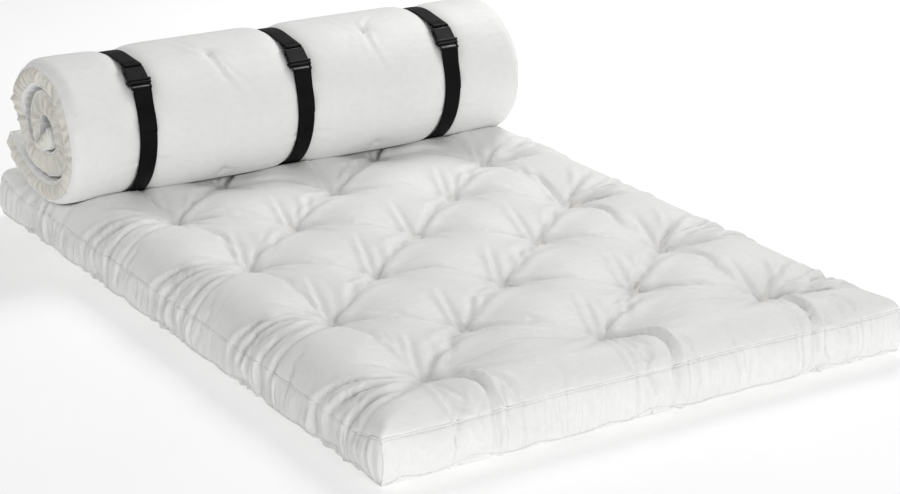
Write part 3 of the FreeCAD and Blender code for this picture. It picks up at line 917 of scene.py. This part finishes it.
def build_roll():
    """The rolled mattress: covers, seams, filling, tuft threads and knots."""
    state = roll_walk(roll_spacing)
    total = state[-1, 3]
    s = state[:, 3]
    x = edge_columns(roll_left, roll_right, 0.0085, EDGE_ROUND)
    s_grid, x_grid = np.meshgrid(s, x, indexing="ij")

    fold_length = sum(radius * math.radians(turn) for radius, turn in CORE_FOLD)
    squeezed = smoothstep(total - fold_length, total - 0.45 * fold_length, s_grid)
    thick = ROLL_THICK + (CORE_FOLD_THICK - ROLL_THICK) * squeezed
    to_end = np.minimum(s_grid, total - s_grid)
    to_side = np.minimum(x_grid - roll_left, roll_right - x_grid)
    a = np.clip(1 - to_side / EDGE_ROUND, 0, 1)
    b = np.clip(1 - to_end / EDGE_ROUND, 0, 1)
    inner_turns = smoothstep(0.95, 1.25, s_grid)
    edge_depth = (EDGE_DEPTH + (INNER_EDGE_DEPTH - EDGE_DEPTH) * inner_turns) * thick / ROLL_THICK
    rounding = edge_depth * (1 - np.sqrt(1 - np.minimum(1, a**2 + b**2)))

    shown = smoothstep(0.33, 0.46, s_grid) * (1 - smoothstep(1.06, 1.2, s_grid))
    lean = strap_lean(state)
    from_strap = np.min([abs(x_grid - lean[:, None] - strap_x(name)) for name in STRAPS], axis=0)
    outermost = 1 - smoothstep(1.12, 1.3, s_grid)
    beside = np.clip(from_strap - 0.022, 0, 1)
    swell = (-0.0062 * np.exp(-((beside / 0.016) ** 1.5)) * smoothstep(0.0, 0.05, s_grid)) * outermost
    between = abs(x_grid - ROLL_X) < 0.45
    swell += (0.0060 + 0.0040 * between) * (1 - np.exp(-beside / 0.020)) * shown
    swell += 0.0016 * smooth_noise(x_grid, s_grid, 0.09, 3) * shown
    pinch = np.zeros_like(x_grid)
    for tx, ts in roll_tufts():
        far = np.hypot(x_grid - tx, (s_grid - ts))
        pinch = np.maximum(pinch, 0.014 * np.exp(-((far / 0.017) ** 1.1)))
        own = np.random.default_rng(int(1000 + 1000 * ts + 50 * tx))
        for angle in own.uniform(0, 2 * math.pi, 5):
            reach = own.uniform(0.03, 0.075)
            end = (tx + reach * math.cos(angle) * 0.7, ts + reach * math.sin(angle))
            bend = own.uniform(-0.01, 0.01)
            swell += fold_field(x_grid, s_grid, (tx, ts), end, bend, 0.0034, 0.004) * shown
    for start, end, bend, deep, wide in ROLL_FOLDS:
        swell += fold_field(x_grid, s_grid, start, end, bend, deep, wide) * shown
    edge_pull = 0.0015 * np.exp(-to_side / 0.06) * smooth_noise(s_grid, 0 * s_grid, 0.022, 5)
    depth = rounding + pinch - swell * (1 - a) + edge_pull
    waist = END_WAVE * smooth_noise(s_grid, 0 * s_grid, 0.11, 9) * (0.6 + inner_turns)
    inward = np.sign(ROLL_X - x_grid)
    recess = END_RECESS * smoothstep(1.0, 1.3, s_grid) * (1 - 0.7 * smoothstep(1.5, 2.0, s_grid))
    x_moved = x_grid + inward * (waist + recess + 0.002) * np.exp(-to_side / 0.05)
    outer = roll_surface(state, x_moved, depth)
    wavy = s_grid + 0.010 * smooth_noise(x_grid, s_grid, 0.12, 6)
    ripple = 0.0042 * (1 + np.sin(2 * math.pi * wavy / 0.045)) * (1 - a) * (1 - b)
    inner_depth = thick - rounding - (pinch * 0.6 + ripple) * thick / ROLL_THICK
    inner = roll_surface(state, x_moved, inner_depth)

    skin = cloth_piece("roll_outer_panel_cloth", outer)
    finish_piece(skin, "roll", "panel_cloth", PANEL, "roll_outer_panel")
    lining = cloth_piece("roll_inner_panel_cloth", inner, flip=True)
    finish_piece(lining, "roll", "panel_cloth", PANEL, "roll_inner_panel")

    for name, column, way in (("left", 0, -1), ("right", -1, 1)):
        share = np.linspace(0, 1, 11)[None, :]
        dense = np.linspace(0, total, round(total / BORDER_STEP))
        taper = (smoothstep(0, END_TAPER, dense) * smoothstep(0, END_TAPER, total - dense))[:, None]
        fine = np.stack([np.interp(dense, s, state[:, k]) for k in range(4)], -1)
        first = np.interp(dense, s, depth[:, column])[:, None]
        last = np.interp(dense, s, inner_depth[:, column])[:, None]
        edge_x = np.interp(dense, s, x_moved[:, column])[:, None]
        d = first + (last - first) * share
        slant = dense[:, None] + 0.034 * (share - 0.5) * smooth_noise(dense, 0 * dense, 0.10, 17)[:, None]
        pleat = pleats(slant, total, 40 if way < 0 else 41) * np.sin(math.pi * share) ** 0.5
        pleat = pleat * (1.3 + 0.7 * smooth_noise(dense, 0 * dense, 0.05, 35))[:, None]
        crumple = smooth_noise(dense[:, None] + 0 * share, share * 0.05 + 0 * pleat, 0.022, 37)
        pleat = pleat + 0.0032 * crumple * np.sin(math.pi * share)
        puff = (0.0090 + 0.005 * smooth_noise(dense, 0 * dense, 0.07, 33))[:, None]
        puff = puff * np.sin(math.pi * share) ** 0.8
        wall = roll_surface(fine, edge_x + way * (puff + pleat) * taper, d)
        piece = cloth_piece(f"roll_{name}_border_cloth", wall, flip=way < 0)
        # The coiled end gets the border cloth painted darker and warmer: painted shade
        finish_piece(piece, "roll", "border_cloth", ROLL_END_PAINTED_SHADE, f"roll_{name}_border")
        welts = [tube("welt", wall[:, k], ROLL_WELT, sides=6, up=(1, 0, 0)) for k in (0, -1)]
        finish_piece(joined(f"roll_{name}_welts", welts), "roll", "seam_cloth", SEAM, f"roll_{name}_seams")

    for name, row, way in (("loose", 0, -1), ("core", -1, 1)):
        share = np.linspace(0, 1, 9)[:, None]
        first, last = outer[row][None], inner[row][None]
        wall = first + (last - first) * share[..., None]
        heading = state[row, 2]
        puff = way * 0.007 * np.sin(math.pi * share) * smoothstep(0, END_TAPER, to_side[row])[None]
        wall[..., 1] += puff * math.cos(heading)
        wall[..., 2] += puff * math.sin(heading)
        piece = cloth_piece(f"roll_{name}_end_cloth", wall, flip=way > 0)
        finish_piece(piece, "roll", "border_cloth", BORDER, f"roll_{name}_end_border")

    pick = slice(1, -1, 3)
    filler = state[pick]
    fx = np.linspace(roll_left + 0.020, roll_right - 0.020, 48)
    nearest = np.array([np.argmin(abs(x - v)) for v in fx])
    skin_depth = depth[pick][:, nearest]
    lining_depth = inner_depth[pick][:, nearest]
    layers = {
        "roll_outer_batting_pad": (0.06, 0.24, "batting", BATTING, "roll_outer_batting"),
        "roll_foam_filling": (0.26, 0.74, "foam", FOAM, "roll_foam_core"),
        "roll_inner_batting_pad": (0.76, 0.94, "batting", BATTING, "roll_inner_batting"),
    }
    for name, (near, far, slot, material, node) in layers.items():
        faces = [skin_depth + (lining_depth - skin_depth) * share for share in (near, far)]
        grids = [roll_surface(filler, fx[None, :], d) for d in faces]
        pad = slab(name, *grids)
        finish_piece(pad, "roll", slot, material, node)

    twines, knots = [], {"outer": [], "inner": []}
    for number, (tx, ts) in enumerate(roll_tufts()):
        row, column = np.argmin(abs(s - ts)), np.argmin(abs(x - tx))
        start, end = outer[row, column], inner[row, column]
        out = (start - end) / np.linalg.norm(start - end)
        spine = start + (end - start) * np.linspace(0, 1, 8)[:, None]
        twines.append(tube("twine", spine, TWINE, sides=6, up=(1, 0, 0)))
        for name, at, way in (("outer", start, 1), ("inner", end, -1)):
            for loop in range(2):
                centre = at + way * out * 0.0016
                knots[name].append(thread_loop(centre, loop + number, radius=0.0048, normal=out * way))
    finish_tufts("roll", "roll", twines, knots)


def pleats(s, total, seed):
    """Fine irregular pleats along a gathered edge, closer together in the tight inner turns."""
    own = np.random.default_rng(seed)
    wave = np.zeros_like(s)
    at = 0.0
    while at < total:
        at += own.uniform(0.016, 0.045)
        wide = own.uniform(0.005, 0.010)
        deep = own.uniform(0.0025, 0.0085)
        wave -= deep * np.exp(-(((s - at) / wide) ** 2))
        wave += 0.5 * deep * np.exp(-(((s - at - 1.9 * wide) / (1.2 * wide)) ** 2))
    return wave


def strap_x(name):
    """The x of the middle of a strap."""
    low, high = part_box(f"{name}_strap_webbing")
    return (low[0] + high[0]) / 2


def strap_lean(state):
    """How far to the side a strap leans at each place of a path."""
    return STRAP_LEAN * (state[:, 1] - STRAP_LEAN_FROM) * smoothstep(0.0, 0.25, state[:, 1])


def roll_tufts():
    """Each tuft's x and distance along the roll's outer surface."""
    for x, row in tuft_rows_of(ROLL_TUFT_ROWS, False):
        yield x + ROLL_X, ROLL_TUFT_FIRST + row * ROLL_TUFT_PITCH


# Straps


def tangent(centre, radius, other, other_radius):
    """Heading and length of the line from one circle to another, a positive radius lying to its right."""
    apart = math.hypot(other[0] - centre[0], other[1] - centre[1])
    step = radius - other_radius
    heading = math.atan2(other[1] - centre[1], other[0] - centre[0]) - math.asin(step / apart)
    return heading, math.sqrt(apart**2 - step**2)


def strap_walk(socket_bar, plug_bar, spacing):
    """The webbing's middle line, from its sewn end over the roll and back up to its loose tail."""
    front_wide, front_narrow = oval_radii(HALF_TURNS[0], ROLL_HALF_HEIGHT)
    back_half = ROLL_HALF_HEIGHT - TURN_PITCH / 2
    back_wide, back_narrow = oval_radii(HALF_TURNS[1], back_half)
    top_z = ROLL_BOTTOM_Z + 2 * ROLL_HALF_HEIGHT
    over_centre = (ROLL_BOTTOM_Y, top_z - front_wide)
    back_centre = (ROLL_BOTTOM_Y + HALF_TURNS[1] - back_narrow, top_z - back_half)
    front_centre = (ROLL_BOTTOM_Y - HALF_TURNS[0] + front_narrow, ROLL_BOTTOM_Z + ROLL_HALF_HEIGHT)
    off = STRAP_STAND_OFF
    leave, top_run = tangent(socket_bar, WRAP, over_centre, front_wide + off)
    drop, back_run = tangent(back_centre, back_narrow + off, loose_end(), STRAP_CORNER)
    rise, front_run = tangent(front_centre, front_narrow + off, plug_bar, -WRAP)
    leave_deg, drop_deg, rise_deg = (math.degrees(v) for v in (leave, drop, rise))
    sewn = leave + math.pi + math.radians(SEWN_ANGLE)
    on_bar = (socket_bar[0] - WRAP * math.sin(sewn), socket_bar[1] + WRAP * math.cos(sewn), sewn)
    start = tuple(float(v) for v in moved(on_bar, -SEWN_LENGTH, 0, 1.0))
    steps = [
        (SEWN_LENGTH, 0),
        (WRAP, 180 + SEWN_ANGLE),
        (top_run, 0),
        (front_wide + off, leave_deg),
        (back_wide + off, 45),
        (back_narrow + off, -45 - drop_deg),
        (back_run, 0),
        (STRAP_CORNER, 180 + drop_deg - TAIL_ANGLE),
        (TAIL_RADIUS + STRAP_CORNER, TAIL_ANGLE),
        (front_wide + off, 45),
        (front_narrow + off, 135 - rise_deg),
        (front_run, 0),
        (WRAP, -180 - TAIL_LEAD_ANGLE),
        (TAIL_LEAD, 0),
        (TAIL_BEND, TAIL_LEAD_ANGLE),
        (TAIL_STRAIGHT, 0),
        (front_narrow + off + WEB_THICK + 0.0003, -TAIL_WRAP),
    ]
    return walk(start, steps, spacing)


def build_strap(name):
    """One strap: its webbing, the stitching of its sewn end, and its buckle's plastic."""
    hinge = [j for j in frame["joints"] if j["name"] == f"{name}_prong_left_squeeze"][0]
    out = -np.array(hinge["axis"])[1:]
    out /= np.linalg.norm(out)
    along = np.array([out[1], -out[0]])
    root = np.array(hinge["pos_m"])[1:]
    origin = root - along * PRONG_ROOT_ALONG
    bars = [tuple(origin + along * at) for at in BAR_PLACES]
    state = strap_walk(*bars, 0.005)
    count = 11
    across = np.linspace(-1, 1, count)
    lean = strap_lean(state)
    x = strap_x(name) + across[None, :] * WEB_HALF_WIDTH + lean[:, None]
    half = WEB_THICK / 2 * np.where(abs(across) > 0.85, 1.15, 1.0)
    half[0] = half[-1] = WEB_THICK * 0.3
    ribs = 0.00012 * np.sin(state[:, 3] * 2 * math.pi / 0.010)[:, None]
    upper = roll_surface(state, x, -(half[None, :] + ribs))
    lower = roll_surface(state, x[:, ::-1], (half[None, ::-1] + ribs))
    loop = np.concatenate([upper, lower], axis=1)
    rows, columns = loop.shape[:2]
    faces = grid_faces(rows, columns, wrap_columns=True, flip=True)
    ends = []
    for row, flip in ((0, False), (rows - 1, True)):
        base = row * columns
        for k in range(count - 1):
            quad = [base + k, base + k + 1, base + columns - 2 - k, base + columns - 1 - k]
            ends.append(quad[::-1] if flip else quad)
    webbing = mesh_object(f"{name}_webbing_strap", loop, np.concatenate([faces, np.array(ends)]))
    finish_piece(webbing, "roll", "webbing", WEBBING, f"{name}_strap_webbing")

    threads = []
    wrap_end = SEWN_LENGTH + WRAP * math.radians(180 + SEWN_ANGLE)
    for row in range(STITCH_ROWS):
        at = np.argmin(abs(state[:, 3] - (wrap_end + STITCH_FIRST + STITCH_PITCH * row)))
        place = state[at : at + 1]
        for k in range(STITCHES):
            sx = strap_x(name) - STITCH_EDGE + np.linspace(0, STITCH_LONG, 5) + k * STITCH_STEP
            arch = -(WEB_THICK / 2 + 0.0001 + 0.0004 * np.sin(np.linspace(0, math.pi, 5)))
            line = roll_surface(np.repeat(place, 5, 0), sx[:, None], arch[:, None])[:, 0]
            threads.append(tube("stitch", line, 0.00035, sides=6))
    stitches = joined(f"{name}_sewn_stitches", threads)
    finish_piece(stitches, "roll", "strap_thread", STITCH, f"{name}_strap_stitches")
    for part in ("socket", "plug", "prong_left", "prong_right"):
        node = frame["nodes"][f"{name}_buckle_{part}"]
        node.data.materials.clear()
        node.data.materials.append(PLASTIC)


build_seat()
build_roll()
for strap in STRAPS:
    build_strap(strap)


# Camera, light and floor


def make_camera():
    """The camera at the photograph's place: a long lens, low over the front left corner."""
    data = bpy.data.cameras.new("camera")
    data.lens = 93.6
    data.sensor_width = 36
    data.clip_end = 100
    camera = bpy.data.objects.new("camera", data)
    azimuth, elevation, roll = math.radians(-32.51), math.radians(19.75), math.radians(0.48)
    level = math.cos(elevation)
    back = Vector((math.sin(azimuth) * level, -math.cos(azimuth) * level, math.sin(elevation)))
    right = Vector((0, 0, 1)).cross(back).normalized()
    up = back.cross(right)
    right, up = math.cos(roll) * right + math.sin(roll) * up, math.cos(roll) * up - math.sin(roll) * right
    axes = Matrix((right, up, back)).transposed()
    camera.matrix_world = Matrix.Translation((-2.903, -4.708, 2.076)) @ axes.to_4x4()
    bpy.context.scene.collection.objects.link(camera)
    bpy.context.scene.camera = camera


def area_light(name, place, aim, size, power):
    """A round area light at a place, turned to a point."""
    data = bpy.data.lights.new(name, "AREA")
    data.shape = "DISK"
    data.size = size
    data.energy = power
    lamp = bpy.data.objects.new(name, data)
    lamp.location = place
    lamp.rotation_euler = (Vector(aim) - Vector(place)).to_track_quat("-Z", "Y").to_euler()
    bpy.context.scene.collection.objects.link(lamp)


def make_studio():
    """A white room: a pale floor, a soft key from the right, a wide fill from the front and a weak rim."""
    world = bpy.data.worlds.new("studio")
    world.use_nodes = True
    world.node_tree.nodes["Background"].inputs["Color"].default_value = (1, 1, 1, 1)
    world.node_tree.nodes["Background"].inputs["Strength"].default_value = 0.43
    bpy.context.scene.world = world
    bpy.context.scene.view_settings.view_transform = "Standard"
    area_light("key", (2.6, 1.6, 3.2), (0, 0, 0.1), 1.8, 78)
    area_light("fill", (-1.4, -8.0, 2.2), (0, 0, 0.2), 3.0, 218)
    area_light("rim", (-3.6, 3.6, 1.3), (-0.5, 0, 0.1), 1.4, 14)
    half = 30.0
    floor = mesh_object(
        "floor", [(-half, -half, 0), (half, -half, 0), (half, half, 0), (-half, half, 0)], [(0, 1, 2, 3)]
    )
    m = Nodes("pale_floor")
    m.link(m.ramp(m.noise(3.0), [(0.3, (0.93,) * 3), (0.7, (0.95,) * 3)]), "Base Color")
    m.set({"Roughness": 0.9, "Emission Color": (1, 1, 1, 1), "Emission Strength": 0.26})
    floor.data.materials.append(m.material)


make_camera()
make_studio()
